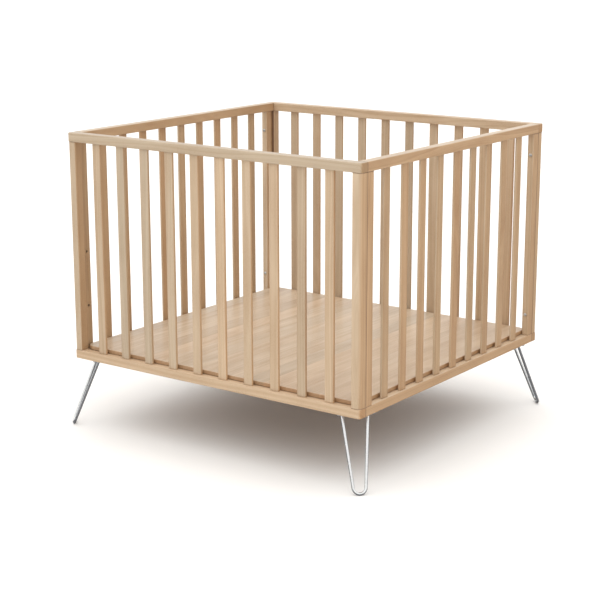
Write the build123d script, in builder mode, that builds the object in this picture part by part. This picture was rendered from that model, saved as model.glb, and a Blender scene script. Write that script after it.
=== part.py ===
from build123d import *
from math import acos, atan2, cos, hypot, radians, sin, sqrt, tan
import os

# Slatted wooden playpen on four steel hairpin legs, in millimetres.
# The origin is on the ground under the middle of the pen, +Z is up and the front panel faces -Y.
# Four panels bolt together at the corners. Each has a top and a bottom rail, two end posts and
# flat slats between them. The floor board lies on the bottom rails and can be lifted on to pins
# that plug into the side panels' posts.

# ---- Overall sizes ----
pen_width = 1000.0          # outside, along X: length of the front and back panels
pen_depth = 960.0           # outside, along Y
panel_height = 660.0
leg_height = 200.0          # ground to the underside of the panels

# ---- Rails ----
rail_depth = 28.0           # across the panel
rail_height = 26.0
rail_edge_radius = 2.5
rail_corner_radius = 8.0    # in plan, at the pen's four outside corners

# ---- Posts ----
post_width = 28.0           # along the panel
side_post_depth = 20.0      # the side panels' posts are thinner than their rails
post_corner_radius = 12.0   # in plan, at the pen's four outside corners
post_edge_radius = 2.0

# ---- Slats ----
slat_width = 29.0
slat_thickness = 8.0
slat_edge_radius = 3.0
slat_setback = 7.5          # rail's outside face to slat's outside face
slat_tenon = 10.0           # how far each end is let into its rail
front_slat_count = 10
side_slat_count = 9

# ---- Dowels between posts and rails ----
dowel_radius = 4.0
dowel_depth = 15.0          # into the post, and the same into the rail
dowel_spacing = 12.0

# ---- Corner bolts and their threaded inserts ----
bolt_radius = 3.0
bolt_head_radius = 5.0
bolt_head_height = 3.0
bolt_socket_width = 4.0
bolt_socket_depth = 1.8
bolt_grip = 17.0            # length in the front or back post
bolt_rail_distance = 63.0   # from the nearest rail
bolt_clearance = 0.1
insert_radius = 5.0
insert_length = 13.0

# ---- Floor board and its support holes ----
floor_thickness = 12.0
floor_clearance = 1.5       # to the side posts
floor_corner_clearance = 3.2     # to the front and back posts, as the board is lifted past them
floor_edge_radius = 2.0
support_pin_radius = 4.0
support_pin_clearance = 0.1
support_drill_angle = 118.0      # full angle of the drill's point, which ends each hole
support_hole_wall = 3.5     # wood left beyond the drill's point
support_lifts = (130.0, 290.0)   # how far each pin level lifts the board off the rails

# ---- Hairpin legs ----
rod_radius = 4.0
rod_spread = 35.0           # half the distance between the rods, at the plate
foot_bend_radius = 17.0     # of the rod's centre line
rod_setback = 67.0          # pen's corner to the rods at the plate, along the diagonal
foot_overhang = 11.0        # pen's corner to the foot, outwards along the diagonal
plate_thickness = 3.0
plate_width = 45.0          # along the diagonal
plate_corner_radius = 4.0

# ---- Leg screws ----
screw_radius = 2.0
screw_tip_clearance = 2.0   # below the slats' mortises
screw_head_radius = 4.0
screw_head_height = 2.2
screw_slot_width = 1.0
screw_slot_depth = 1.0
screw_clearance = 0.25      # radial, in the plate
screw_inset = 16.5          # rail's outside face to the screw
screw_front_gap = 3.5       # screw head to rod, for the screws nearer the pen's corner
screw_side_gap = 1.5        # screw head to rod, for the screws beside the rods
plate_margin = 1.5          # plate's edge to the outermost screw heads

# ---- Levels and lengths that follow ----
bottom_rail_low = leg_height
bottom_rail_top = bottom_rail_low + rail_height
top_rail_high = leg_height + panel_height
top_rail_low = top_rail_high - rail_height
clear_height = top_rail_low - bottom_rail_top
side_length = pen_depth - 2 * rail_depth

front_gap = (pen_width - 2 * post_width - front_slat_count * slat_width) / (front_slat_count + 1)
side_gap = (side_length - 2 * post_width - side_slat_count * slat_width) / (side_slat_count + 1)
front_pitch = slat_width + front_gap
side_pitch = slat_width + side_gap
slat_inset = slat_setback + slat_thickness / 2

bolt_levels = (bottom_rail_top + bolt_rail_distance, top_rail_low - bolt_rail_distance)
support_levels = [bottom_rail_top + lift - support_pin_radius for lift in support_lifts]
support_hole_radius = support_pin_radius + support_pin_clearance
drill_point_length = support_hole_radius / tan(radians(support_drill_angle / 2))
support_hole_depth = side_post_depth - support_hole_wall - drill_point_length

# The board's corner arc passes the inside corner of a front or back post at its clearance.
floor_inset = side_post_depth + floor_clearance
post_reach_x = post_width - floor_inset
post_reach_y = rail_depth - floor_inset
reach_sum = post_reach_x + post_reach_y + floor_corner_clearance
reach_squares = post_reach_x**2 + post_reach_y**2 - floor_corner_clearance**2
floor_corner_radius = reach_sum + sqrt(reach_sum**2 - reach_squares)

# Two screws go into each rail at a leg: one ahead of the rod and one beside it.
screw_depth = rail_height - slat_tenon - screw_tip_clearance
near_screw_setback = rod_setback - rod_radius - screw_front_gap - screw_head_radius
far_screw_spread = rod_spread + rod_radius + screw_side_gap + screw_head_radius
screw_reaches = (sqrt(2) * near_screw_setback - screw_inset, sqrt(2) * far_screw_spread + screw_inset)
plate_setback = near_screw_setback - screw_head_radius - plate_margin
plate_length = 2 * (far_screw_spread + screw_head_radius + plate_margin)

corners = [(-1, -1), (1, -1), (1, 1), (-1, 1)]
corner_names = {(-1, -1): "front_left", (1, -1): "front_right", (1, 1): "back_right", (-1, 1): "back_left"}
face_names = {-1: "front", 1: "back"}
side_names = {-1: "left", 1: "right"}

os.makedirs("parts", exist_ok=True)


def finish(piece, name):
    """Label a finished piece and write it as its own file."""
    piece.part.label = name
    export_step(piece.part, f"parts/{name}.step")


def front_post_center(sx, sy):
    """Middle of a front or back panel's post, in plan."""
    return (sx * (pen_width - post_width) / 2, sy * (pen_depth - rail_depth) / 2)


def side_post_center(sx, sy):
    """Middle of a side panel's post, in plan."""
    return (sx * (pen_width - side_post_depth) / 2, sy * (side_length - post_width) / 2)


def dowel_centers(post_center, along):
    """Both dowels of one post end, spaced along the panel."""
    x, y = post_center
    half = dowel_spacing / 2
    if along == "X":
        return [(x - half, y), (x + half, y)]
    return [(x, y - half), (x, y + half)]


def screw_centers(sx, sy, along):
    """Leg screws in the rail that runs along one axis from a corner."""
    if along == "X":
        return [(sx * (pen_width / 2 - reach), sy * (pen_depth / 2 - screw_inset)) for reach in screw_reaches]
    return [(sx * (pen_width / 2 - screw_inset), sy * (pen_depth / 2 - reach)) for reach in screw_reaches]


def cut_joints(slat_centers, rotation, dowels, joint_level, into):
    """Mortises for the slats and holes for the dowels, in the rail being built."""
    with BuildSketch(Plane.XY.offset(joint_level)) as mortises:
        with Locations(*slat_centers):
            RectangleRounded(slat_width, slat_thickness, slat_edge_radius, rotation=rotation)
    extrude(mortises.sketch, amount=into * slat_tenon, mode=Mode.SUBTRACT)
    with BuildSketch(Plane.XY.offset(joint_level)) as dowel_holes:
        with Locations(*dowels):
            Circle(dowel_radius)
    extrude(dowel_holes.sketch, amount=into * dowel_depth, mode=Mode.SUBTRACT)


def cut_screw_holes(centers):
    """Pilot holes for the leg screws, in the underside of the rail being built."""
    with BuildSketch(Plane.XY.offset(bottom_rail_low)) as pilot_holes:
        with Locations(*centers):
            Circle(screw_radius)
    extrude(pilot_holes.sketch, amount=screw_depth, mode=Mode.SUBTRACT)


# ---- Front and back panels: rails the full width of the pen ----
for sy, face in face_names.items():
    rail_y = sy * (pen_depth - rail_depth) / 2
    slat_y = sy * (pen_depth / 2 - slat_inset)
    slat_xs = [(i - (front_slat_count - 1) / 2) * front_pitch for i in range(front_slat_count)]
    slat_spots = [(x, slat_y) for x in slat_xs]
    dowel_spots = [spot for sx in (-1, 1) for spot in dowel_centers(front_post_center(sx, sy), "X")]

    for level, low, joint, into in (
        ("bottom", bottom_rail_low, bottom_rail_top, -1),
        ("top", top_rail_low, top_rail_low, 1),
    ):
        with BuildPart() as rail:
            with BuildSketch(Plane.XY.offset(low)) as plan:
                with Locations((0, rail_y)):
                    Rectangle(pen_width, rail_depth)
                outer_corners = plan.vertices().sort_by(Axis.Y, reverse=sy > 0)[:2]
                fillet(outer_corners, rail_corner_radius)
            extrude(amount=rail_height)
            fillet(rail.faces().filter_by(Axis.Z).edges(), rail_edge_radius)
            cut_joints(slat_spots, 0, dowel_spots, joint, into)
            if level == "bottom":
                cut_screw_holes([spot for sx in (-1, 1) for spot in screw_centers(sx, sy, "X")])
        finish(rail, f"{face}_{level}_rail")

    for number, x in enumerate(slat_xs, start=1):
        with BuildPart() as slat:
            with BuildSketch(Plane.XY.offset(bottom_rail_top - slat_tenon)):
                with Locations((x, slat_y)):
                    RectangleRounded(slat_width, slat_thickness, slat_edge_radius)
            extrude(amount=clear_height + 2 * slat_tenon)
        finish(slat, f"{face}_slat_{number:02d}")

    with BuildPart() as posts:
        for sx in (-1, 1):
            x, y = front_post_center(sx, sy)
            with BuildSketch(Plane.XY.offset(bottom_rail_top)) as plan:
                with Locations((x, y)):
                    Rectangle(post_width, rail_depth)
                outside = plan.vertices().sort_by_distance((sx * pen_width / 2, sy * pen_depth / 2))
                fillet(outside[0], post_corner_radius)
                square_corners = plan.vertices().sort_by_distance((sx * pen_width / 2, sy * pen_depth / 2))[2:]
                fillet(square_corners, post_edge_radius)
            extrude(amount=clear_height)
        for joint, into in ((bottom_rail_top, 1), (top_rail_low, -1)):
            with BuildSketch(Plane.XY.offset(joint)):
                with Locations(*dowel_spots):
                    Circle(dowel_radius)
            extrude(amount=into * dowel_depth, mode=Mode.SUBTRACT)
        # The insert sits in a wider hole at the mouth, and the bolt runs on past it.
        for sx in (-1, 1):
            bolt_x = side_post_center(sx, sy)[0]
            for radius, depth in (
                (insert_radius, insert_length),
                (bolt_radius + bolt_clearance, bolt_grip + 1),
            ):
                with BuildSketch(Plane((0, sy * side_length / 2, 0), x_dir=(1, 0, 0), z_dir=(0, sy, 0))):
                    with Locations(*[(bolt_x, -sy * z) for z in bolt_levels]):
                        Circle(radius)
                extrude(amount=depth, mode=Mode.SUBTRACT)
    finish(posts, f"{face}_posts")

# ---- Side panels: rails between the front and back panels ----
for sx, side in side_names.items():
    rail_x = sx * (pen_width - rail_depth) / 2
    slat_x = sx * (pen_width / 2 - slat_inset)
    slat_ys = [(i - (side_slat_count - 1) / 2) * side_pitch for i in range(side_slat_count)]
    slat_spots = [(slat_x, y) for y in slat_ys]
    dowel_spots = [spot for sy in (-1, 1) for spot in dowel_centers(side_post_center(sx, sy), "Y")]

    for level, low, joint, into in (
        ("bottom", bottom_rail_low, bottom_rail_top, -1),
        ("top", top_rail_low, top_rail_low, 1),
    ):
        with BuildPart() as rail:
            with BuildSketch(Plane.XY.offset(low)):
                with Locations((rail_x, 0)):
                    Rectangle(rail_depth, side_length)
            extrude(amount=rail_height)
            fillet(rail.edges().filter_by(Axis.Y), rail_edge_radius)
            cut_joints(slat_spots, 90, dowel_spots, joint, into)
            if level == "bottom":
                cut_screw_holes([spot for sy in (-1, 1) for spot in screw_centers(sx, sy, "Y")])
        finish(rail, f"{side}_{level}_rail")

    for number, y in enumerate(slat_ys, start=1):
        with BuildPart() as slat:
            with BuildSketch(Plane.XY.offset(bottom_rail_top - slat_tenon)):
                with Locations((slat_x, y)):
                    RectangleRounded(slat_width, slat_thickness, slat_edge_radius, rotation=90)
            extrude(amount=clear_height + 2 * slat_tenon)
        finish(slat, f"{side}_slat_{number:02d}")

    with BuildPart() as posts:
        with BuildSketch(Plane.XY.offset(bottom_rail_top)):
            with Locations(*[side_post_center(sx, sy) for sy in (-1, 1)]):
                RectangleRounded(side_post_depth, post_width, post_edge_radius)
        extrude(amount=clear_height)
        for joint, into in ((bottom_rail_top, 1), (top_rail_low, -1)):
            with BuildSketch(Plane.XY.offset(joint)):
                with Locations(*dowel_spots):
                    Circle(dowel_radius)
            extrude(amount=into * dowel_depth, mode=Mode.SUBTRACT)
        # Bolt holes run right through along Y.
        with BuildSketch(Plane.XZ):
            with Locations(*[(side_post_center(sx, 1)[0], z) for z in bolt_levels]):
                Circle(bolt_radius + bolt_clearance)
        extrude(amount=side_length / 2, both=True, mode=Mode.SUBTRACT)
        # Support holes are drilled into the face that looks into the pen, and end in the drill's point.
        inner_face = sx * (pen_width / 2 - side_post_depth)
        hole_end = inner_face + sx * support_hole_depth
        support_spots = [(side_post_center(sx, sy)[1], z) for sy in (-1, 1) for z in support_levels]
        with BuildSketch(Plane((inner_face, 0, 0), x_dir=(0, 1, 0), z_dir=(sx, 0, 0))):
            with Locations(*[(y, sx * z) for y, z in support_spots]):
                Circle(support_hole_radius)
        extrude(amount=support_hole_depth, mode=Mode.SUBTRACT)
        for y, z in support_spots:
            with Locations(Plane((hole_end, y, z), z_dir=(sx, 0, 0))):
                Cone(
                    support_hole_radius,
                    0,
                    drill_point_length,
                    align=(Align.CENTER, Align.CENTER, Align.MIN),
                    mode=Mode.SUBTRACT,
                )
    finish(posts, f"{side}_posts")

# ---- Floor board: one glued panel, its corners rounded to pass the corner posts ----
with BuildPart() as floor_board:
    with BuildSketch(Plane.XY.offset(bottom_rail_top)):
        RectangleRounded(pen_width - 2 * floor_inset, pen_depth - 2 * floor_inset, floor_corner_radius)
    extrude(amount=floor_thickness)
    fillet(floor_board.faces().filter_by(Axis.Z).edges(), floor_edge_radius)
finish(floor_board, "floor_board")

# ---- Hairpin legs: a bent rod welded under a plate that crosses the corner ----
rod_drop = leg_height - plate_thickness - rod_radius
rod_run = rod_setback + foot_overhang
rod_length = hypot(rod_drop, rod_run)
tilt = atan2(rod_run, rod_drop)
bend_center = rod_length - foot_bend_radius
# The straight runs touch the bend where the radius is square to them.
touch_angle = atan2(rod_spread, bend_center) + acos(foot_bend_radius / hypot(rod_spread, bend_center))
touch_x = foot_bend_radius * sin(touch_angle)
touch_y = foot_bend_radius * cos(touch_angle) - bend_center

for sx, sy in corners:
    outward = Vector(sx, sy, 0).normalized()
    across = Vector(0, 0, 1).cross(outward)
    corner = Vector(sx * pen_width / 2, sy * pen_depth / 2, 0)
    plate_middle = corner - outward * (plate_setback + plate_width / 2) + Vector(0, 0, leg_height)
    rod_top = corner - outward * rod_setback + Vector(0, 0, leg_height - plate_thickness)
    up_the_rods = Vector(0, 0, 1) * cos(tilt) - outward * sin(tilt)
    rod_plane = Plane(rod_top, x_dir=across, z_dir=across.cross(up_the_rods))
    screw_spots = screw_centers(sx, sy, "X") + screw_centers(sx, sy, "Y")

    with BuildPart() as leg:
        with BuildLine(rod_plane) as rod_path:
            left_run = Line((-rod_spread, 0), (-touch_x, touch_y))
            foot_bend = ThreePointArc(left_run @ 1, (0, -rod_length), (touch_x, touch_y))
            right_run = Line(foot_bend @ 1, (rod_spread, 0))
        with BuildSketch(Plane(rod_path.line @ 0, z_dir=rod_path.line % 0)):
            Circle(rod_radius)
        sweep(path=rod_path.line)
        # Each rod runs on into the plate, which its slanting end would otherwise only half meet.
        for start, direction in ((rod_path.line @ 0, rod_path.line % 0), (rod_path.line @ 1, -(rod_path.line % 1))):
            with BuildSketch(Plane(start, z_dir=direction)):
                Circle(rod_radius)
            extrude(amount=-2 * rod_radius)
        split(bisect_by=Plane.XY.offset(leg_height - plate_thickness / 2), keep=Keep.BOTTOM)
        with BuildSketch(Plane(plate_middle, x_dir=across, z_dir=(0, 0, -1))):
            RectangleRounded(plate_length, plate_width, plate_corner_radius)
        extrude(amount=plate_thickness)
        with BuildSketch(Plane.XY.offset(leg_height)):
            with Locations(*screw_spots):
                Circle(screw_radius + screw_clearance)
        extrude(amount=-plate_thickness, mode=Mode.SUBTRACT)
    finish(leg, f"{corner_names[(sx, sy)]}_leg")

# ---- Fasteners: each kind is one group of separate solids ----
all_screw_spots = [spot for sx, sy in corners for along in "XY" for spot in screw_centers(sx, sy, along)]
with BuildPart() as leg_screws:
    under_plate = leg_height - plate_thickness
    with BuildSketch(Plane.XY.offset(under_plate)):
        with Locations(*all_screw_spots):
            Circle(screw_radius)
    extrude(amount=plate_thickness + screw_depth)
    with BuildSketch(Plane.XY.offset(under_plate)):
        with Locations(*all_screw_spots):
            Circle(screw_head_radius)
    extrude(amount=-screw_head_height)
    head_rims = leg_screws.edges().group_by(Axis.Z)[0]
    fillet(head_rims, screw_head_height / 2)
    for cross_arm in ((2 * screw_radius, screw_slot_width), (screw_slot_width, 2 * screw_radius)):
        with BuildSketch(Plane.XY.offset(under_plate - screw_head_height)):
            with Locations(*all_screw_spots):
                Rectangle(*cross_arm)
        extrude(amount=screw_slot_depth, mode=Mode.SUBTRACT)
finish(leg_screws, "leg_screws")

with BuildPart() as corner_bolts:
    for sx, sy in corners:
        bolt_x = side_post_center(sx, sy)[0]
        head_seat = sy * (side_length / 2 - post_width)
        for z in bolt_levels:
            with BuildSketch(Plane((bolt_x, head_seat, z), z_dir=(0, sy, 0))):
                Circle(bolt_radius)
            extrude(amount=post_width + bolt_grip)
            with BuildSketch(Plane((bolt_x, head_seat, z), z_dir=(0, sy, 0))):
                Circle(bolt_head_radius)
            extrude(amount=-bolt_head_height)
            head_top = head_seat - sy * bolt_head_height
            with BuildSketch(Plane((bolt_x, head_top, z), z_dir=(0, sy, 0))):
                RegularPolygon(bolt_socket_width / 2, 6, major_radius=False)
            extrude(amount=bolt_socket_depth, mode=Mode.SUBTRACT)
finish(corner_bolts, "corner_bolts")

with BuildPart() as insert_nuts:
    for sx, sy in corners:
        bolt_x = side_post_center(sx, sy)[0]
        for z in bolt_levels:
            with BuildSketch(Plane((bolt_x, sy * side_length / 2, z), z_dir=(0, sy, 0))):
                Circle(insert_radius)
                Circle(bolt_radius + bolt_clearance / 2, mode=Mode.SUBTRACT)
            extrude(amount=insert_length)
finish(insert_nuts, "insert_nuts")

with BuildPart() as dowels:
    for sx, sy in corners:
        spots = dowel_centers(front_post_center(sx, sy), "X") + dowel_centers(side_post_center(sx, sy), "Y")
        for joint in (bottom_rail_top, top_rail_low):
            with BuildSketch(Plane.XY.offset(joint - dowel_depth)):
                with Locations(*spots):
                    Circle(dowel_radius)
            extrude(amount=2 * dowel_depth)
finish(dowels, "dowels")
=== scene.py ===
"""Looks of a slatted beech playpen with a staved floor board and steel hairpin legs.

The packed CAD model is the frame, in metres, with the origin on the ground under the middle of the pen
and the front panel facing -Y. Rails, posts, dowels, inserts and the floor board keep their CAD meshes
and get a finish. Slats, legs, screws and bolts are built here, at the places of their CAD nodes.
"""

import math

import bmesh
import bpy
from mathutils import Euler, Matrix, Vector


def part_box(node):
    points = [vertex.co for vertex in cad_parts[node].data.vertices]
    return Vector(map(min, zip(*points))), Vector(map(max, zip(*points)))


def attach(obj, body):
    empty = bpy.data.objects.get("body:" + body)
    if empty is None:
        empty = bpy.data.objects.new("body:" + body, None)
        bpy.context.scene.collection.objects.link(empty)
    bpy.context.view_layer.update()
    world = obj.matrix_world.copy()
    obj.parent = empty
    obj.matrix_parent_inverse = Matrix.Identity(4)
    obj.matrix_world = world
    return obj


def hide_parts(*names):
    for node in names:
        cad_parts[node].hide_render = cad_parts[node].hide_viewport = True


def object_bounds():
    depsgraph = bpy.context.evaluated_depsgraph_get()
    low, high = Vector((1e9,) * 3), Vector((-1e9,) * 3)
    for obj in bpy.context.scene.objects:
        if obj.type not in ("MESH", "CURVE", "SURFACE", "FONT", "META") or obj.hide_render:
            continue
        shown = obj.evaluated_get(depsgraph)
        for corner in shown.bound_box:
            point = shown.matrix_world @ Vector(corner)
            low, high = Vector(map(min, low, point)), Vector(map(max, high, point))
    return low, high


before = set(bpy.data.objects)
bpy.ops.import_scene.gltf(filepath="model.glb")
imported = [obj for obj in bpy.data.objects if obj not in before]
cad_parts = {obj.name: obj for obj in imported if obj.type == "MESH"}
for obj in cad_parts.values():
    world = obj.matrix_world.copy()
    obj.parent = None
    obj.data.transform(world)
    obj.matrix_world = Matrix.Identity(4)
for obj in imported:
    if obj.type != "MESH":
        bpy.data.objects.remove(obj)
cad_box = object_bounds()

bl_info = {
    "name": "Slatted playpen",
    "version": (1, 0, 0),
    "blender": (4, 5, 0),
    "location": "View3D > Sidebar > Playpen",
    "description": "Beech rails, slats and floor board, hairpin legs and their fasteners",
    "category": "Object",
}

BODY = "frame"
FACES = ("front", "back")
SIDES = ("left", "right")
CORNERS = {"front_left": (-1, -1), "front_right": (1, -1), "back_right": (1, 1), "back_left": (-1, 1)}
MM = 0.001
MESH_OUT = {"Geometry": "NodeSocketGeometry"}

# Multipliers of the wood's colour. Across the grain: darker end grain, and also painted shade on the floor
# board's ends.
# Faces that look along X: painted shade, darker and warmer.
PLAIN_END = (0.9, 0.84, 0.76)
PAINTED_SIDE_SHADE = (0.89, 0.755, 0.615)
BOARD_END_GRAIN_AND_SHADE = (0.8, 0.66, 0.54)
BOARD_PAINTED_SIDE_SHADE = (0.7, 0.56, 0.43)

# Joint lines, grooves with painted shade in them: their colour, which the floor's glue lines and painted
# contact shadow share, half the width of their dark core, and how far they fade from it.
SEAM_AND_SHADE_COLOUR = (0.16, 0.08, 0.04, 1)
GROOVE_SHADE_CORE = 0.4 * MM
UPRIGHT_GROOVE_SHADE_CORE = 0.5 * MM
GROOVE_SHADE_REACH = 1.6 * MM

# Screws and bolts, beyond what the frame's boxes give.
SCREW_HOLE_RADIUS = 2.25 * MM
SCREW_SHANK_RADIUS = 2 * MM
SCREW_TIP = 3 * MM
RECESS_ARM = 1.9 * MM
BOLT_HEAD_HEIGHT = 3 * MM
BOLT_SHANK_RADIUS = 3 * MM
BOLT_TIP = 1 * MM

# The camera's turns are in radians and its lens is in millimetres.
CAMERA_PLACE = (2.5684, -3.5777, 1.4236)
CAMERA_HEADING = 0.6295
CAMERA_DOWN = 0.2393
CAMERA_ROLL = -0.0018
CAMERA_LENS = 91.9


def size_of(node):
    """A CAD node's length along X, Y and Z."""
    low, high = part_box(node)
    return high - low


# ---- Sizes and colours that a user would change ----


class WoodSettings(bpy.types.PropertyGroup):
    """Beech of the rails, posts, slats and floor board."""

    light: bpy.props.FloatVectorProperty(
        name="Light wood", description="Colour between the growth rings", subtype="COLOR",
        size=4, min=0, max=1, default=(0.632, 0.490, 0.337, 1))
    dark: bpy.props.FloatVectorProperty(
        name="Dark wood", description="Colour of the growth rings", subtype="COLOR",
        size=4, min=0, max=1, default=(0.466, 0.323, 0.196, 1))
    fleck: bpy.props.FloatVectorProperty(
        name="Flecks", description="Colour of the short brown flecks along the grain", subtype="COLOR",
        size=4, min=0, max=1, default=(0.36, 0.19, 0.095, 1))
    ring_width: bpy.props.FloatProperty(
        name="Ring width", description="Mean width of a growth ring", subtype="DISTANCE",
        unit="LENGTH", min=0.001, default=0.0034)
    seed: bpy.props.IntProperty(
        name="Seed", description="Picks the grain and tone of rails and posts", default=100)
    lacquer: bpy.props.FloatProperty(
        name="Lacquer", description="Strength of the clear satin coat", subtype="FACTOR",
        min=0, max=1, default=0.4)


class SlatSettings(bpy.types.PropertyGroup):
    """Flat upright slats, one row in each panel."""

    edge_radius: bpy.props.FloatProperty(
        name="Edge radius", description="Radius of a slat's long edges", subtype="DISTANCE",
        unit="LENGTH", min=0.0005, default=0.003)
    edge_steps: bpy.props.IntProperty(
        name="Edge steps", description="Flats that make up each rounded edge", min=2, max=12, default=6)
    seed: bpy.props.IntProperty(name="Seed", description="Picks each slat's own grain and tone", default=10)


class FloorSettings(bpy.types.PropertyGroup):
    """Staves glued edge to edge, from the front of the pen to its back."""

    stave_width: bpy.props.FloatProperty(
        name="Stave width", description="Width of one stave", subtype="DISTANCE",
        unit="LENGTH", min=0.01, default=0.0605)
    first_stave: bpy.props.FloatProperty(
        name="First stave", description="Width left on the first stave, at the board's left edge",
        subtype="DISTANCE", unit="LENGTH", min=0, default=0.0485)
    tone_spread: bpy.props.FloatProperty(
        name="Tone spread", description="How much the staves differ in tone", subtype="FACTOR",
        min=0, max=0.5, default=0.13)
    seed: bpy.props.IntProperty(name="Seed", description="Picks each stave's grain and tone", default=500)


class LegSettings(bpy.types.PropertyGroup):
    """Hairpin legs: a bent rod welded under a plate that crosses the corner."""

    rod_radius: bpy.props.FloatProperty(
        name="Rod radius", description="Radius of the round rod", unit="LENGTH", default=0.004)
    rod_spread: bpy.props.FloatProperty(
        name="Rod spread", description="Half the distance between the rods at the plate",
        unit="LENGTH", default=0.035)
    bend_radius: bpy.props.FloatProperty(
        name="Bend radius", description="Radius of the foot's bend, at the rod's middle",
        unit="LENGTH", default=0.017)
    rod_setback: bpy.props.FloatProperty(
        name="Rod setback", description="Pen's corner to the rods at the plate, along the diagonal",
        unit="LENGTH", default=0.067)
    foot_overhang: bpy.props.FloatProperty(
        name="Foot overhang", description="Pen's corner to the foot, outwards along the diagonal",
        unit="LENGTH", default=0.011)
    plate_thickness: bpy.props.FloatProperty(
        name="Plate thickness", description="Thickness of the mounting plate", unit="LENGTH", default=0.003)
    plate_setback: bpy.props.FloatProperty(
        name="Plate setback", description="Pen's corner to the plate's outer edge", unit="LENGTH",
        default=0.05)
    plate_length: bpy.props.FloatProperty(
        name="Plate length", description="Length of the plate across the corner", unit="LENGTH", default=0.1)
    plate_width: bpy.props.FloatProperty(
        name="Plate width", description="Width of the plate along the diagonal", unit="LENGTH",
        default=0.045)
    plate_corner_radius: bpy.props.FloatProperty(
        name="Plate corner radius", description="Radius of the plate's corners", unit="LENGTH",
        default=0.004)
    plate_edge: bpy.props.FloatProperty(
        name="Plate edge", description="Rounding of the plate's sheared edges", unit="LENGTH",
        default=0.0004)
    weld_radius: bpy.props.FloatProperty(
        name="Weld radius", description="Size of one ripple of the weld", unit="LENGTH", default=0.0013)
    weld_ripples: bpy.props.IntProperty(
        name="Weld ripples", description="Ripples round each rod", min=6, max=40, default=20)
    colour: bpy.props.FloatVectorProperty(
        name="Plating", description="Colour of the plated steel", subtype="COLOR",
        size=4, min=0, max=1, default=(0.90, 0.91, 0.90, 1))


class FastenerSettings(bpy.types.PropertyGroup):
    """Leg screws and corner bolts."""

    recess_width: bpy.props.FloatProperty(
        name="Recess width", description="Width of the screw's cross recess", unit="LENGTH", default=0.001)
    socket_width: bpy.props.FloatProperty(
        name="Socket width", description="Across the flats of the bolt's hexagon socket", unit="LENGTH",
        default=0.004)
    recess_depth: bpy.props.FloatProperty(
        name="Recess depth", description="Depth of the recess and the socket", unit="LENGTH",
        default=0.0014)
    steps: bpy.props.IntProperty(name="Steps", description="Sides of a round head", min=12, max=64,
                                 default=32)
    colour: bpy.props.FloatVectorProperty(
        name="Zinc", description="Colour of the zinc plating", subtype="COLOR",
        size=4, min=0, max=1, default=(0.74, 0.74, 0.72, 1))


class StageSettings(bpy.types.PropertyGroup):
    """White studio: a pale floor under a soft overhead light that is dimmer towards the back."""

    floor: bpy.props.FloatVectorProperty(
        name="Floor", description="Colour of the studio floor", subtype="COLOR",
        size=4, min=0, max=1, default=(0.995, 0.975, 0.94, 1))
    floor_reach: bpy.props.FloatProperty(
        name="Floor reach", description="Half the length of the floor", unit="LENGTH", default=60)
    overhead: bpy.props.FloatVectorProperty(
        name="Overhead", description="Light from straight above", subtype="COLOR",
        size=4, min=0, soft_max=4, default=(1.64, 1.64, 1.65, 1))
    front: bpy.props.FloatVectorProperty(
        name="Front", description="Light from the horizon in front", subtype="COLOR",
        size=4, min=0, soft_max=4, default=(0.34, 0.34, 0.34, 1))
    back: bpy.props.FloatVectorProperty(
        name="Back", description="Light from the horizon behind", subtype="COLOR",
        size=4, min=0, soft_max=4, default=(0.26, 0.26, 0.26, 1))


GROUPS = {
    "playpen_wood": WoodSettings,
    "playpen_slats": SlatSettings,
    "playpen_floor": FloorSettings,
    "playpen_legs": LegSettings,
    "playpen_fasteners": FastenerSettings,
    "playpen_stage": StageSettings,
}


# ---- Node trees ----


def put(tree, socket, value):
    """Join a socket to another node's output, or give it a value."""
    if isinstance(value, bpy.types.NodeSocket):
        tree.links.new(value, socket)
    else:
        socket.default_value = value


def add(tree, kind, values=None, **settings):
    """A new node with its settings, and its inputs joined or set."""
    node = tree.nodes.new(kind)
    for name, value in settings.items():
        setattr(node, name, value)
    for socket, value in (values or {}).items():
        put(tree, node.inputs[socket], value)
    return node


def calc(tree, operation, *values):
    """The result of one Math node."""
    node = add(tree, "ShaderNodeMath", dict(enumerate(values)), operation=operation)
    return node.outputs[0]


def remap(tree, value, from_low, from_high, to_low, to_high):
    """A value carried from one range to another, and held inside it."""
    numbers = {"Value": value, "From Min": from_low, "From Max": from_high,
               "To Min": to_low, "To Max": to_high}
    return add(tree, "ShaderNodeMapRange", numbers).outputs["Result"]


def scaled(tree, vector, scale):
    """A vector multiplied axis by axis."""
    node = add(tree, "ShaderNodeVectorMath", {0: vector, 1: scale}, operation="MULTIPLY")
    return node.outputs[0]


def noise(tree, values, dimensions="3D"):
    """The height of one Noise Texture, around a half."""
    return add(tree, "ShaderNodeTexNoise", values, noise_dimensions=dimensions).outputs[0]


def mixed(tree, factor, first, second, blend="MIX"):
    """Two colours mixed."""
    node = add(tree, "ShaderNodeMix", data_type="RGBA", blend_type=blend)
    for socket, value in zip((node.inputs[0], node.inputs[6], node.inputs[7]), (factor, first, second)):
        put(tree, socket, value)
    return node.outputs[2]


def new_group(name, kind, inputs, outputs):
    """An empty node group with named sockets. Returns the tree and its input and output nodes."""
    tree = bpy.data.node_groups.new(name, kind)
    for socket_name, (socket_kind, default) in inputs.items():
        socket = tree.interface.new_socket(socket_name, in_out="INPUT", socket_type=socket_kind)
        if default is not None:
            socket.default_value = default
    for socket_name, socket_kind in outputs.items():
        tree.interface.new_socket(socket_name, in_out="OUTPUT", socket_type=socket_kind)
    return tree, tree.nodes.new("NodeGroupInput").outputs, tree.nodes.new("NodeGroupOutput").inputs


def end_tree(tree, result, geometry, material):
    """The end of every geometry tree: instances made real, and a material."""
    whole = add(tree, "GeometryNodeRealizeInstances", {0: geometry}).outputs[0]
    painted = add(tree, "GeometryNodeSetMaterial", {"Geometry": whole, "Material": material}).outputs[0]
    put(tree, result["Geometry"], painted)
    return tree


# ---- Materials ----


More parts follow.
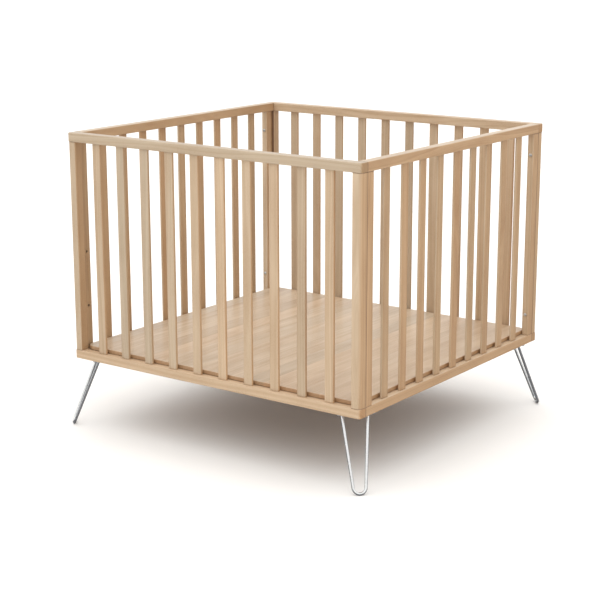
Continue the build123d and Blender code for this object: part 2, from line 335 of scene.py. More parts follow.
def beech_group():
    """Beech as a solid texture: rings, fibres and short flecks that run along one axis."""
    if "Beech" in bpy.data.node_groups:
        return bpy.data.node_groups["Beech"]
    wood = bpy.context.scene.playpen_wood
    inputs = {
        "Along": ("NodeSocketFloat", 0.0),
        "Across": ("NodeSocketFloat", 0.0),
        "Through": ("NodeSocketFloat", 0.0),
        "Seed": ("NodeSocketFloat", 0.0),
        "Tone Spread": ("NodeSocketFloat", 0.08),
        "Light": ("NodeSocketColor", tuple(wood.light)),
        "Dark": ("NodeSocketColor", tuple(wood.dark)),
        "Fleck": ("NodeSocketColor", tuple(wood.fleck)),
        "Ring Width": ("NodeSocketFloat", wood.ring_width),
        "Rings": ("NodeSocketFloat", 0.5),
        "Patches": ("NodeSocketFloat", 0.3),
    }
    outputs = {"Colour": "NodeSocketColor", "Roughness": "NodeSocketFloat", "Height": "NodeSocketFloat"}
    tree, given, result = new_group("Beech", "ShaderNodeTree", inputs, outputs)

    # Each seed moves the grain somewhere else in the tree, turns its rings and shifts its tone.
    lot = add(tree, "ShaderNodeTexWhiteNoise", {"W": given["Seed"]}, noise_dimensions="1D")
    luck = add(tree, "ShaderNodeSeparateXYZ", {0: lot.outputs["Color"]}).outputs
    here = add(tree, "ShaderNodeCombineXYZ", {0: given["Across"], 1: given["Through"], 2: given["Along"]})
    shift = scaled(tree, lot.outputs["Color"], (9.0, 7.0, 8.0))
    place = add(tree, "ShaderNodeVectorMath", {0: here.outputs[0], 1: shift}, operation="ADD").outputs[0]

    turn = calc(tree, "MULTIPLY", luck[0], math.pi)
    flat = calc(tree, "MULTIPLY", given["Across"], calc(tree, "COSINE", turn))
    deep = calc(tree, "MULTIPLY", given["Through"], calc(tree, "SINE", turn))
    sweep = noise(tree, {"Vector": scaled(tree, place, (7.0, 7.0, 1.0)), "Scale": 1.0, "Detail": 1.0})
    wander = noise(tree, {"Vector": scaled(tree, place, (40.0, 40.0, 3.5)), "Scale": 1.0, "Detail": 1.0})
    bend = calc(tree, "ADD", calc(tree, "MULTIPLY", sweep, 0.045), calc(tree, "MULTIPLY", wander, 0.004))
    ring_place = calc(tree, "DIVIDE", calc(tree, "ADD", calc(tree, "ADD", flat, deep), bend),
                      given["Ring Width"])
    rings = noise(tree, {"W": ring_place, "Scale": 0.45, "Detail": 3.0, "Roughness": 0.65}, "1D")
    fine_rings = noise(tree, {"W": ring_place, "Scale": 1.7, "Detail": 1.0}, "1D")

    fibre_vector = scaled(tree, place, (900.0, 900.0, 22.0))
    fibres = noise(tree, {"Vector": fibre_vector, "Scale": 1.0, "Detail": 2.0})
    broad = noise(tree, {"Vector": scaled(tree, place, (20.0, 20.0, 5.0)), "Scale": 1.0, "Detail": 2.0})

    fleck_vector = scaled(tree, place, (850.0, 850.0, 120.0))
    cells = add(tree, "ShaderNodeTexVoronoi", {"Vector": fleck_vector, "Scale": 1.0, "Randomness": 1.0})
    fleck_size = remap(tree, broad, 0.35, 0.65, 0.10, 0.24)
    flecks = remap(tree, calc(tree, "SUBTRACT", cells.outputs["Distance"], fleck_size), -0.05, 0.03, 1.0, 0.0)

    ring_tone = remap(tree, rings, 0.34, 0.66, 0.0, 1.0)
    tone = calc(tree, "MULTIPLY", ring_tone, given["Rings"])
    tone = calc(tree, "MULTIPLY_ADD", remap(tree, fine_rings, 0.45, 0.7, 0.0, 1.0), 0.22, tone)
    tone = calc(tree, "MULTIPLY_ADD", fibres, 0.16, tone)
    tone = calc(tree, "MULTIPLY_ADD", remap(tree, broad, 0.35, 0.65, 0.0, 1.0), given["Patches"], tone)
    tone = add(tree, "ShaderNodeClamp", {0: tone}).outputs[0]
    colour = mixed(tree, tone, given["Light"], given["Dark"])
    colour = mixed(tree, calc(tree, "MULTIPLY", flecks, 0.55), colour, given["Fleck"])
    half_spread = calc(tree, "MULTIPLY", calc(tree, "SUBTRACT", luck[1], 0.5), given["Tone Spread"])
    level = calc(tree, "ADD", half_spread, 1.0)
    warm_spread = calc(tree, "MULTIPLY", given["Tone Spread"], 0.45)
    warmth = calc(tree, "MULTIPLY", calc(tree, "SUBTRACT", luck[2], 0.5), warm_spread)
    level_colour = add(tree, "ShaderNodeCombineXYZ", {
        0: calc(tree, "ADD", level, warmth), 1: level, 2: calc(tree, "SUBTRACT", level, warmth)})
    colour = scaled(tree, colour, level_colour.outputs[0])

    put(tree, result["Colour"], colour)
    rough = remap(tree, fibres, 0.25, 0.75, 0.42, 0.56)
    put(tree, result["Roughness"], calc(tree, "ADD", rough, calc(tree, "MULTIPLY", flecks, 0.1)))
    relief = calc(tree, "MULTIPLY_ADD", flecks, -0.6, calc(tree, "MULTIPLY", fibres, 0.5))
    put(tree, result["Height"], calc(tree, "MULTIPLY_ADD", ring_tone, -0.25, relief))
    return tree


def new_material(name):
    """An empty material. Returns it with its tree and its shader."""
    material = bpy.data.materials.new(name)
    material.use_nodes = True
    tree = material.node_tree
    tree.nodes.clear()
    shader = tree.nodes.new("ShaderNodeBsdfPrincipled")
    out = tree.nodes.new("ShaderNodeOutputMaterial")
    tree.links.new(shader.outputs[0], out.inputs["Surface"])
    return material, tree, shader


def object_place(tree):
    """The X, Y and Z of a point on the piece, in metres."""
    spot = add(tree, "ShaderNodeTexCoord").outputs["Object"]
    return add(tree, "ShaderNodeSeparateXYZ", {0: spot}).outputs


def block_seed(tree, place, block, start):
    """A number of its own for each block of space that one piece of wood fills.

    block holds the blocks' length along each axis, or None where a piece runs right through.
    """
    total = float(start)
    for axis, length in enumerate(block):
        if length:
            step = calc(tree, "FLOOR", calc(tree, "DIVIDE", place[axis], length))
            total = calc(tree, "MULTIPLY_ADD", step, 4.0 ** axis, total)
    return total


def wooden(name, grain, seed, spread=0.08, seams=None, depth=0.85, end_grain_and_shade=PLAIN_END,
           painted_side_shade=PAINTED_SIDE_SHADE, rings=0.5, patches=0.3, grooves=True):
    """Satin-lacquered beech. grain is the axis of its fibres, 0, 1 or 2, and seed makes each piece's number.

    spread is how far the pieces differ in tone. seams, if given, makes the dark lines of joints, as deep
    as depth, and on upright faces alone where grooves is set. The faces across the grain are multiplied by
    end_shade and those that look along X by side_shade.
    """
    if name in bpy.data.materials:
        return bpy.data.materials[name]
    material, tree, shader = new_material(name)
    place = object_place(tree)
    others = [i for i in range(3) if i != grain]
    values = {"Along": place[grain], "Across": place[others[0]], "Through": place[others[1]],
              "Seed": seed(tree, place), "Tone Spread": spread, "Rings": rings, "Patches": patches}
    wood = add(tree, "ShaderNodeGroup", node_tree=beech_group())
    for socket, value in values.items():
        put(tree, wood.inputs[socket], value)
    colour, height = wood.outputs["Colour"], wood.outputs["Height"]
    normal = add(tree, "ShaderNodeTexCoord").outputs["Normal"]
    facing = add(tree, "ShaderNodeSeparateXYZ", {0: normal}).outputs
    # Darker end grain, which is also painted shade on the floor board's ends, and painted shade on faces that
    # look along X.
    for axis, low, high, shade in ((grain, 0.6, 0.9, end_grain_and_shade), (0, 0.3, 0.95, painted_side_shade)):
        amount = remap(tree, calc(tree, "ABSOLUTE", facing[axis]), low, high, 0.0, 1.0)
        colour = mixed(tree, amount, colour, mixed(tree, 1.0, colour, (*shade, 1), "MULTIPLY"))
    # Painted shade in the joints' grooves, which also lower the bump; the floor's glue lines are the wood's
    # own.
    if seams:
        upright = remap(tree, calc(tree, "ABSOLUTE", facing[2]), 0.3, 0.8, 1.0, 0.0)
        line = calc(tree, "MULTIPLY", seams(tree, place), upright if grooves else 1.0)
        colour = mixed(tree, calc(tree, "MULTIPLY", line, depth), colour, SEAM_AND_SHADE_COLOUR)
        height = calc(tree, "SUBTRACT", height, calc(tree, "MULTIPLY", line, 0.8))
    bump = add(tree, "ShaderNodeBump", {"Height": height, "Strength": 0.22, "Distance": 0.12 * MM})
    put(tree, shader.inputs["Base Color"], colour)
    put(tree, shader.inputs["Roughness"], wood.outputs["Roughness"])
    put(tree, shader.inputs["Normal"], bump.outputs[0])
    shader.inputs["IOR"].default_value = 1.5
    shader.inputs["Coat Weight"].default_value = bpy.context.scene.playpen_wood.lacquer
    shader.inputs["Coat Roughness"].default_value = 0.22
    return material


def metal(name, colour, roughness, grain_scale=1400.0, mottle=0.10):
    """Plated steel: a faint mottle, fine drawing marks and a soft gloss."""
    if name in bpy.data.materials:
        return bpy.data.materials[name]
    material, tree, shader = new_material(name)
    spot = add(tree, "ShaderNodeTexCoord").outputs["Object"]
    cloud = noise(tree, {"Vector": spot, "Scale": 160.0, "Detail": 3.0})
    marks = noise(tree, {"Vector": scaled(tree, spot, (grain_scale, grain_scale, grain_scale / 30)),
                         "Scale": 1.0, "Detail": 2.0})
    shade = remap(tree, cloud, 0.3, 0.7, 1.0 - mottle, 1.0)
    put(tree, shader.inputs["Base Color"], scaled(tree, tuple(colour)[:3], shade))
    shader.inputs["Metallic"].default_value = 1.0
    put(tree, shader.inputs["Roughness"], remap(tree, marks, 0.3, 0.7, roughness - 0.05, roughness + 0.07))
    bump = add(tree, "ShaderNodeBump", {"Height": marks, "Strength": 0.1, "Distance": 0.03 * MM})
    put(tree, shader.inputs["Normal"], bump.outputs[0])
    return material


# ---- Meshes ----


def new_piece(name, mesh):
    """A mesh object at the origin."""
    piece = bpy.data.objects.new(name, mesh)
    bpy.context.scene.collection.objects.link(piece)
    return piece


def drop(piece):
    """Remove a helper object that isn't part of the pen."""
    bpy.data.objects.remove(piece)


def finished_mesh(piece):
    """The plain mesh that a piece's modifiers or curve make."""
    bpy.context.view_layer.update()
    graph = bpy.context.evaluated_depsgraph_get()
    return bpy.data.meshes.new_from_object(
        piece.evaluated_get(graph), preserve_all_data_layers=True, depsgraph=graph)


def grow(piece, tree, values):
    """Run a geometry tree on a piece, keep the plain mesh that it makes and drop the modifier."""
    modifier = piece.modifiers.new(tree.name, "NODES")
    modifier.node_group = tree
    for socket in tree.interface.items_tree:
        if socket.in_out == "INPUT" and socket.name in values:
            modifier[socket.identifier] = values[socket.name]
    mesh = finished_mesh(piece)
    name = piece.name
    drop(piece)
    piece = new_piece(name, mesh)
    if not mesh.polygons:
        raise RuntimeError(f"{name} came out empty")
    return piece


def keep(piece, slot, *nodes):
    """Make a piece part of the pen, in place of some CAD nodes."""
    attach(piece, BODY)
    if nodes:
        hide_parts(*nodes)


def solid_boxes(node):
    """(lowest corner, highest corner) of each solid of a CAD node that groups several."""
    mesh = bmesh.new()
    mesh.from_mesh(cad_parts[node].data)
    bmesh.ops.remove_doubles(mesh, verts=mesh.verts, dist=1e-6)
    left, boxes = set(mesh.verts), []
    while left:
        queue, found = [left.pop()], []
        while queue:
            vertex = queue.pop()
            found.append(vertex.co.copy())
            for edge in vertex.link_edges:
                other = edge.other_vert(vertex)
                if other in left:
                    left.remove(other)
                    queue.append(other)
        boxes.append((Vector(map(min, *found)), Vector(map(max, *found))))
    mesh.free()
    return sorted(boxes, key=lambda box: tuple(box[0]))


# ---- Slats ----


def slat_tree():
    """A row of slats with rounded edges, each with its own number for its grain."""
    if "Slat Row" in bpy.data.node_groups:
        return bpy.data.node_groups["Slat Row"]
    inputs = {
        "Geometry": ("NodeSocketGeometry", None),
        "Count": ("NodeSocketInt", 10),
        "First": ("NodeSocketVector", (0, 0, 0)),
        "Pitch": ("NodeSocketVector", (0.0885, 0, 0)),
        "Size": ("NodeSocketVector", (0.029, 0.008, 0.628)),
        "Edge Radius": ("NodeSocketFloat", 0.003),
        "Edge Steps": ("NodeSocketInt", 6),
        "Seed": ("NodeSocketInt", 0),
        "Material": ("NodeSocketMaterial", None),
    }
    tree, given, result = new_group("Slat Row", "GeometryNodeTree", inputs, MESH_OUT)
    size = add(tree, "ShaderNodeSeparateXYZ", {0: given["Size"]}).outputs
    section = add(tree, "GeometryNodeCurvePrimitiveQuadrilateral",
                  {"Width": size[0], "Height": size[1]}).outputs[0]
    rounded = add(tree, "GeometryNodeFilletCurve", {
        "Curve": section, "Radius": given["Edge Radius"], "Count": given["Edge Steps"],
        "Limit Radius": True}, mode="POLY").outputs[0]
    top = add(tree, "ShaderNodeCombineXYZ", {2: size[2]}).outputs[0]
    length = add(tree, "GeometryNodeCurvePrimitiveLine", {"End": top}).outputs[0]
    slat = add(tree, "GeometryNodeCurveToMesh", {
        "Curve": length, "Profile Curve": rounded, "Fill Caps": True}).outputs[0]
    # The narrow faces of the rounded edges are smooth, and the wide ones flat.
    area = tree.nodes.new("GeometryNodeInputMeshFaceArea").outputs[0]
    narrow = calc(tree, "LESS_THAN", area, 0.001)
    slat = add(tree, "GeometryNodeSetShadeSmooth", {"Geometry": slat, "Shade Smooth": narrow}).outputs[0]
    row = add(tree, "GeometryNodeMeshLine", {
        "Count": given["Count"], "Start Location": given["First"], "Offset": given["Pitch"]}).outputs[0]
    slats = add(tree, "GeometryNodeInstanceOnPoints", {"Points": row, "Instance": slat}).outputs[0]
    order = tree.nodes.new("GeometryNodeInputIndex").outputs[0]
    number = calc(tree, "ADD", order, given["Seed"])
    slats = add(tree, "GeometryNodeStoreNamedAttribute", {
        "Geometry": slats, "Name": "grain_seed", "Value": number},
        data_type="FLOAT", domain="INSTANCE").outputs[0]
    return end_tree(tree, result, slats, given["Material"])


def slat_seed(tree, place):
    """Each slat's own number, stored when its row was made."""
    return add(tree, "ShaderNodeAttribute", attribute_name="grain_seed").outputs["Fac"]


class PLAYPEN_OT_slats(bpy.types.Operator):
    """Build the four rows of flat slats"""

    bl_idname = "playpen.slats"
    bl_label = "Slats"

    def execute(self, context):
        settings = context.scene.playpen_slats
        seeds_per_row = 20
        beech = wooden("beech_slats", 2, slat_seed, 0.22, end_groove_shade, 0.65)
        for order, panel in enumerate((*FACES, *SIDES)):
            nodes = sorted(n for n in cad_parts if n.startswith(f"{panel}_slat_"))
            boxes = [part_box(n) for n in nodes]
            middles = [(low + high) / 2 for low, high in boxes]
            first = Vector((middles[0].x, middles[0].y, boxes[0][0].z))
            pitch = (middles[-1] - middles[0]) / (len(nodes) - 1)
            row = grow(new_piece(f"{panel}_slats", bpy.data.meshes.new("slats")), slat_tree(), {
                "Count": len(nodes), "First": first, "Pitch": pitch, "Size": size_of(nodes[0]),
                "Edge Radius": settings.edge_radius, "Edge Steps": settings.edge_steps,
                "Seed": settings.seed + seeds_per_row * order, "Material": beech,
            })
            keep(row, "frame_wood", *nodes)
        return {"FINISHED"}


# ---- Rails, posts and the pieces hidden inside them ----


def assign(node, material):
    """Give a CAD node its material."""
    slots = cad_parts[node].data.materials
    slots.clear()
    slots.append(material)


def gap_to(tree, value, level):
    """Distance of a value from a level."""
    return calc(tree, "ABSOLUTE", calc(tree, "SUBTRACT", value, level))


def end_groove_shade(tree, place):
    """Depth of the fine grooves at the tops of the bottom rails and the undersides of the top rails."""
    levels = (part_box("front_bottom_rail")[1].z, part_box("front_top_rail")[0].z)
    nearest = calc(tree, "MINIMUM", *(gap_to(tree, place[2], level) for level in levels))
    return remap(tree, nearest, GROOVE_SHADE_CORE, GROOVE_SHADE_REACH, 1.0, 0.0)


def joint_groove_shade(tree, place):
    """The same grooves, and those where the side panels meet the front and back ones."""
    inside_y = abs(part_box("front_bottom_rail")[1].y)
    inside_x = abs(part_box("left_bottom_rail")[1].x)
    upright = gap_to(tree, calc(tree, "ABSOLUTE", place[1]), inside_y)
    upright = remap(tree, upright, UPRIGHT_GROOVE_SHADE_CORE, GROOVE_SHADE_REACH, 1.0, 0.0)
    corner = calc(tree, "GREATER_THAN", calc(tree, "ABSOLUTE", place[0]), inside_x - 0.5 * MM)
    return calc(tree, "MAXIMUM", calc(tree, "MULTIPLY", upright, corner), end_groove_shade(tree, place))


class PLAYPEN_OT_frame(bpy.types.Operator):
    """Give the rails, posts, dowels and inserts their finish"""

    bl_idname = "playpen.frame"
    bl_label = "Rails and posts"

    def execute(self, context):
        half_x, half_y, half_z = (side / 2 for side in (cad_box[1] - cad_box[0]))
        post_line = (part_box("front_posts")[1].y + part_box("left_posts")[0].y) / 2
        levels = ("bottom", "top")
        face_rails = [f"{face}_{level}_rail" for face in FACES for level in levels]
        side_rails = [f"{side}_{level}_rail" for side in SIDES for level in levels]
        posts = [f"{panel}_posts" for panel in (*FACES, *SIDES)]
        cuts = {
            "beech_front_rails": (0, (None, half_y, half_z), face_rails),
            "beech_side_rails": (1, (half_x, None, half_z), side_rails),
            "beech_posts": (2, (half_x, abs(post_line), None), posts),
        }
        seeds_per_cut = 100
        for order, (name, (grain, block, nodes)) in enumerate(cuts.items()):
            start = context.scene.playpen_wood.seed + seeds_per_cut * order

            def own_seed(tree, place, block=block, start=start):
                return block_seed(tree, place, block, start)

            material = wooden(name, grain, own_seed, 0.18, joint_groove_shade)
            for node in nodes:
                assign(node, material)

        def dowel_seed(tree, place):
            return block_seed(tree, place, (20 * MM, 20 * MM, None), 600)

        assign("dowels", wooden("beech_dowels", 2, dowel_seed))
        assign("insert_nuts", metal("yellow_zinc", (0.75, 0.66, 0.42), 0.35))
        return {"FINISHED"}


# ---- Floor board ----


class PLAYPEN_OT_floor_board(bpy.types.Operator):
    """Give the floor board its glued staves"""

    bl_idname = "playpen.floor_board"
    bl_label = "Floor board"

    def execute(self, context):
        settings = context.scene.playpen_floor
        left_edge, _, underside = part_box("floor_board")[0]
        width = settings.stave_width
        start = left_edge + settings.first_stave - width

        def stave(tree, place):
            return calc(tree, "DIVIDE", calc(tree, "SUBTRACT", place[0], start), width)

        def stave_seed(tree, place):
            return calc(tree, "ADD", calc(tree, "FLOOR", stave(tree, place)), settings.seed)

        def glue_lines_and_rest_shade(tree, place):
            part = calc(tree, "FRACT", stave(tree, place))
            nearest = calc(tree, "MINIMUM", part, calc(tree, "SUBTRACT", 1.0, part))
            glue = remap(tree, calc(tree, "MULTIPLY", nearest, width), 0.12 * MM, 0.3 * MM, 0.5, 0.0)
            # Painted contact shadow near and on the board's underside, where it rests on the bottom rails.
            rest_shade = remap(tree, gap_to(tree, place[2], underside), 0.8 * MM, 2.5 * MM, 1.0, 0.0)
            return calc(tree, "MAXIMUM", glue, rest_shade)

        # The board's ends and sides get painted shade as well as darker end grain.
        staves = wooden("beech_staves", 1, stave_seed, settings.tone_spread, glue_lines_and_rest_shade, 0.8,
                        BOARD_END_GRAIN_AND_SHADE, BOARD_PAINTED_SIDE_SHADE, rings=0.3, patches=0.5, grooves=False)
        assign("floor_board", staves)
        return {"FINISHED"}


# ---- Hairpin legs ----


def leg_tree():
    """A bent rod swept along its path, with its welds and its plate."""
    if "Hairpin Leg" in bpy.data.node_groups:
        return bpy.data.node_groups["Hairpin Leg"]
    inputs = {
        "Geometry": ("NodeSocketGeometry", None),
        "Rod Radius": ("NodeSocketFloat", 0.004),
        "Bend Radius": ("NodeSocketFloat", 0.017),
        "Weld Radius": ("NodeSocketFloat", 0.0013),
        "Weld Ripples": ("NodeSocketInt", 20),
        "Plate": ("NodeSocketObject", None),
        "Seed": ("NodeSocketInt", 0),
        "Material": ("NodeSocketMaterial", None),
    }
    tree, given, result = new_group("Hairpin Leg", "GeometryNodeTree", inputs, MESH_OUT)
    path = add(tree, "GeometryNodeFilletCurve", {
        "Curve": given["Geometry"], "Radius": given["Bend Radius"], "Count": 28,
        "Limit Radius": True}, mode="POLY").outputs[0]
    section = add(tree, "GeometryNodeCurvePrimitiveCircle", {
        "Resolution": 28, "Radius": given["Rod Radius"]}).outputs[0]
    rod = add(tree, "GeometryNodeCurveToMesh", {
        "Curve": path, "Profile Curve": section, "Fill Caps": True}).outputs[0]
    rod = add(tree, "GeometryNodeSetShadeSmooth", {"Geometry": rod}).outputs[0]

    # A ring of overlapping ripples lies round each end of the rod, against the plate.
    ends = add(tree, "GeometryNodeCurveEndpointSelection").outputs[0]
    tops = add(tree, "GeometryNodeSeparateGeometry", {"Geometry": given["Geometry"], "Selection": ends},
               domain="POINT").outputs[0]
    tops = add(tree, "GeometryNodeCurveToPoints", {"Curve": tops}, mode="EVALUATED").outputs[0]
    ring_radius = calc(tree, "MULTIPLY_ADD", given["Weld Radius"], 0.35, given["Rod Radius"])
    ring = add(tree, "GeometryNodeCurvePrimitiveCircle", {
        "Resolution": given["Weld Ripples"], "Radius": ring_radius}).outputs[0]
    rings = add(tree, "GeometryNodeInstanceOnPoints", {"Points": tops, "Instance": ring}).outputs[0]
    rings = add(tree, "GeometryNodeRealizeInstances", {0: rings}).outputs[0]
    spots = add(tree, "GeometryNodeCurveToPoints", {"Curve": rings}, mode="EVALUATED").outputs[0]
    ripple = add(tree, "GeometryNodeMeshUVSphere", {
        "Segments": 10, "Rings": 6, "Radius": given["Weld Radius"]}).outputs[0]
    ripple = add(tree, "GeometryNodeSetShadeSmooth", {"Geometry": ripple}).outputs[0]
    uneven = add(tree, "FunctionNodeRandomValue", {"Seed": given["Seed"]}, data_type="FLOAT")
    uneven.inputs[2].default_value = 0.85
    uneven.inputs[3].default_value = 1.12
    weld = add(tree, "GeometryNodeInstanceOnPoints", {
        "Points": spots, "Instance": ripple, "Scale": uneven.outputs[1]}).outputs[0]

    plate = add(tree, "GeometryNodeObjectInfo", {"Object": given["Plate"]}).outputs["Geometry"]
    joined = tree.nodes.new("GeometryNodeJoinGeometry")
    for part in (rod, weld, plate):
        tree.links.new(part, joined.inputs[0])
    return end_tree(tree, result, joined.outputs[0], given["Material"])


def ring_points(middle, radius, steps):
    """Points of a full circle, in a plane."""
    angles = [2 * math.pi * i / steps for i in range(steps)]
    return [(middle[0] + radius * math.cos(a), middle[1] + radius * math.sin(a)) for a in angles]


def rounded_rectangle(length, width, radius, steps=8):
    """Points of a rectangle with round corners, about its middle."""
    points = []
    for quarter, (sx, sy) in enumerate(((1, 1), (-1, 1), (-1, -1), (1, -1))):
        middle = (sx * (length / 2 - radius), sy * (width / 2 - radius))
        for i in range(steps + 1):
            angle = math.pi / 2 * (quarter + i / steps)
            points.append((middle[0] + radius * math.cos(angle), middle[1] + radius * math.sin(angle)))
    return points


def sheet_metal(name, outlines, thickness, edge, place):
    """A flat plate with holes: the first outline is its rim and the others are cut out of it."""
    curve = bpy.data.curves.new(name, "CURVE")
    curve.dimensions = "2D"
    curve.fill_mode = "BOTH"
    curve.extrude = thickness / 2 - edge
    curve.bevel_depth = edge
    curve.bevel_resolution = 1
    curve.offset = -edge
    for outline in outlines:
        spline = curve.splines.new("POLY")
        spline.points.add(len(outline) - 1)
        for point, (x, y) in zip(spline.points, outline):
            point.co = (x, y, 0, 1)
        spline.use_cyclic_u = True
    piece = new_piece(name, curve)
    mesh = finished_mesh(piece)
    drop(piece)
    mesh.transform(place)
    return mesh


class PLAYPEN_OT_legs(bpy.types.Operator):
    """Build the four hairpin legs"""

    bl_idname = "playpen.legs"
    bl_label = "Legs"

    def execute(self, context):
        leg = context.scene.playpen_legs
        corner_x, corner_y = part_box("front_bottom_rail")[1].x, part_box("back_bottom_rail")[1].y
        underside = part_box("front_bottom_rail")[0].z
        plate_low = underside - leg.plate_thickness
        screws = [(low + high) / 2 for low, high in solid_boxes("leg_screws")]
        plating = metal("bright_plate", leg.colour, 0.24, mottle=0.05)
        for order, (corner, (sx, sy)) in enumerate(CORNERS.items()):
            outward = Vector((sx, sy, 0)).normalized()
            across = Vector((0, 0, 1)).cross(outward)
            pen_corner = Vector((sx * corner_x, sy * corner_y, 0))

            plate_middle = pen_corner - outward * (leg.plate_setback + leg.plate_width / 2)
            plate_middle.z = underside - leg.plate_thickness / 2
            place = Matrix((across, outward, (0, 0, 1))).transposed().to_4x4()
            place.translation = plate_middle
            near = [s for s in screws if (s - pen_corner).xy.length < 2 * leg.plate_length]
            holes = [(place.inverted() @ s).xy for s in near]
            outlines = [rounded_rectangle(leg.plate_length, leg.plate_width, leg.plate_corner_radius)]
            outlines += [ring_points(hole, SCREW_HOLE_RADIUS, 24) for hole in holes]
            sheet = sheet_metal("plate", outlines, leg.plate_thickness, leg.plate_edge, place)
            plate = new_piece("plate", sheet)

            # The rod leaves the plate in a leaning V whose point is rounded to the foot's bend.
            drop_height = plate_low - leg.rod_radius
            run = leg.rod_setback + leg.foot_overhang
            length = math.hypot(drop_height, run)
            to_bend = length - leg.bend_radius
            half_angle = math.atan2(leg.rod_spread, to_bend)
            half_angle -= math.asin(leg.bend_radius / math.hypot(leg.rod_spread, to_bend))
            tip = leg.rod_spread / math.tan(half_angle)
            top = pen_corner - outward * leg.rod_setback + Vector((0, 0, plate_low))
            down = (outward * run - Vector((0, 0, drop_height))).normalized()
            rod = bpy.data.curves.new("rod", "CURVE")
            rod.dimensions = "3D"
            line = rod.splines.new("POLY")
            line.points.add(2)
            bends = (top - across * leg.rod_spread, top + down * tip, top + across * leg.rod_spread)
            for point, spot in zip(line.points, bends):
                point.co = (*spot, 1)
            piece = grow(new_piece(f"{corner}_hairpin", rod), leg_tree(), {
                "Rod Radius": leg.rod_radius, "Bend Radius": leg.bend_radius,
                "Weld Radius": leg.weld_radius, "Weld Ripples": leg.weld_ripples,
                "Plate": plate, "Seed": order, "Material": plating,
            })
            drop(plate)
            keep(piece, "leg_steel", f"{corner}_leg")
        return {"FINISHED"}


# ---- Screws and bolts ----


def lathe(profile, steps):
    """A round solid about Z. profile runs from the axis, round the outside and back to the axis."""
    mesh = bmesh.new()
    rings = []
    for radius, z in profile:
        if radius == 0:
            rings.append([mesh.verts.new((0, 0, z))])
        else:
            rings.append([mesh.verts.new((x, y, z)) for x, y in ring_points((0, 0), radius, steps)])
    for lower, upper in zip(rings, rings[1:]):
        for i in range(steps):
            j = (i + 1) % steps
            corners = [lower[i % len(lower)], lower[j % len(lower)],
                       upper[j % len(upper)], upper[i % len(upper)]]
            unique = list(dict.fromkeys(corners))
            if len(unique) > 2:
                mesh.faces.new(unique)
    bmesh.ops.recalc_face_normals(mesh, faces=mesh.faces)
    return mesh


def plain_mesh(mesh, name):
    """A bmesh made a mesh."""
    made = bpy.data.meshes.new(name)
    mesh.to_mesh(made)
    mesh.free()
    return made


def prism(outline, low, high):
    """A straight solid on an outline."""
    mesh = bmesh.new()
    bottom = [mesh.verts.new((x, y, low)) for x, y in outline]
    top = [mesh.verts.new((x, y, high)) for x, y in outline]
    mesh.faces.new(bottom[::-1])
    mesh.faces.new(top)
    for i in range(len(outline)):
        j = (i + 1) % len(outline)
        mesh.faces.new((bottom[i], bottom[j], top[j], top[i]))
    bmesh.ops.recalc_face_normals(mesh, faces=mesh.faces)
    return mesh


def cut(name, body, tool):
    """One solid with another cut out of it."""
    piece, cutter = new_piece(name, plain_mesh(body, name)), new_piece("cutter", plain_mesh(tool, "cutter"))
    modifier = piece.modifiers.new("Cut", "BOOLEAN")
    modifier.operation = "DIFFERENCE"
    modifier.solver = "EXACT"
    modifier.object = cutter
    mesh = finished_mesh(piece)
    drop(piece)
    drop(cutter)
    return new_piece(name, mesh)


def domed_head(head_radius, head_height, shank_radius, shank_length, tip_length):
    """Profile of a fastener that hangs head down from z = 0, where its head meets what it holds."""
    steps = 7
    rise = 0.65 * head_height
    dome = []
    for i in range(steps + 1):
        angle = math.pi / 2 * i / steps
        dome.append((head_radius * math.sin(angle), rise * (1 - math.cos(angle)) - head_height))
    dome[0] = (0, -head_height)
    shank = [(head_radius, 0), (shank_radius, 0),
             (shank_radius, shank_length - tip_length), (0, shank_length)]
    return dome + shank


def fastener_tree():
    """One fastener on each point, turned as the point says and a little about its own axis."""
    if "Fasteners" in bpy.data.node_groups:
        return bpy.data.node_groups["Fasteners"]
    inputs = {
        "Geometry": ("NodeSocketGeometry", None),
        "Fastener": ("NodeSocketObject", None),
        "Seed": ("NodeSocketInt", 0),
        "Material": ("NodeSocketMaterial", None),
    }
    tree, given, result = new_group("Fasteners", "GeometryNodeTree", inputs, MESH_OUT)
    one = add(tree, "GeometryNodeObjectInfo", {"Object": given["Fastener"]}).outputs["Geometry"]
    turn = add(tree, "GeometryNodeInputNamedAttribute", {"Name": "turn"}, data_type="FLOAT_VECTOR").outputs[0]
    group = add(tree, "GeometryNodeInstanceOnPoints", {
        "Points": given["Geometry"], "Instance": one, "Rotation": turn}).outputs[0]
    spin = add(tree, "FunctionNodeRandomValue", {"Seed": given["Seed"]}, data_type="FLOAT")
    spin.inputs[3].default_value = 2 * math.pi
    spun = add(tree, "ShaderNodeCombineXYZ", {2: spin.outputs[1]}).outputs[0]
    group = add(tree, "GeometryNodeRotateInstances", {"Instances": group, "Rotation": spun}).outputs[0]
    return end_tree(tree, result, group, given["Material"])


def fasteners(name, one, places, seed, material):
    """Copies of one fastener at (point, Euler turn) places, as a single piece."""
    points = bpy.data.meshes.new(name)
    points.from_pydata([tuple(spot) for spot, _ in places], [], [])
    turns = points.attributes.new("turn", "FLOAT_VECTOR", "POINT")
    for item, (_, turn) in zip(turns.data, places):
        item.vector = turn
    values = {"Fastener": one, "Seed": seed, "Material": material}
    piece = grow(new_piece(name, points), fastener_tree(), values)
    drop(one)
    return piece


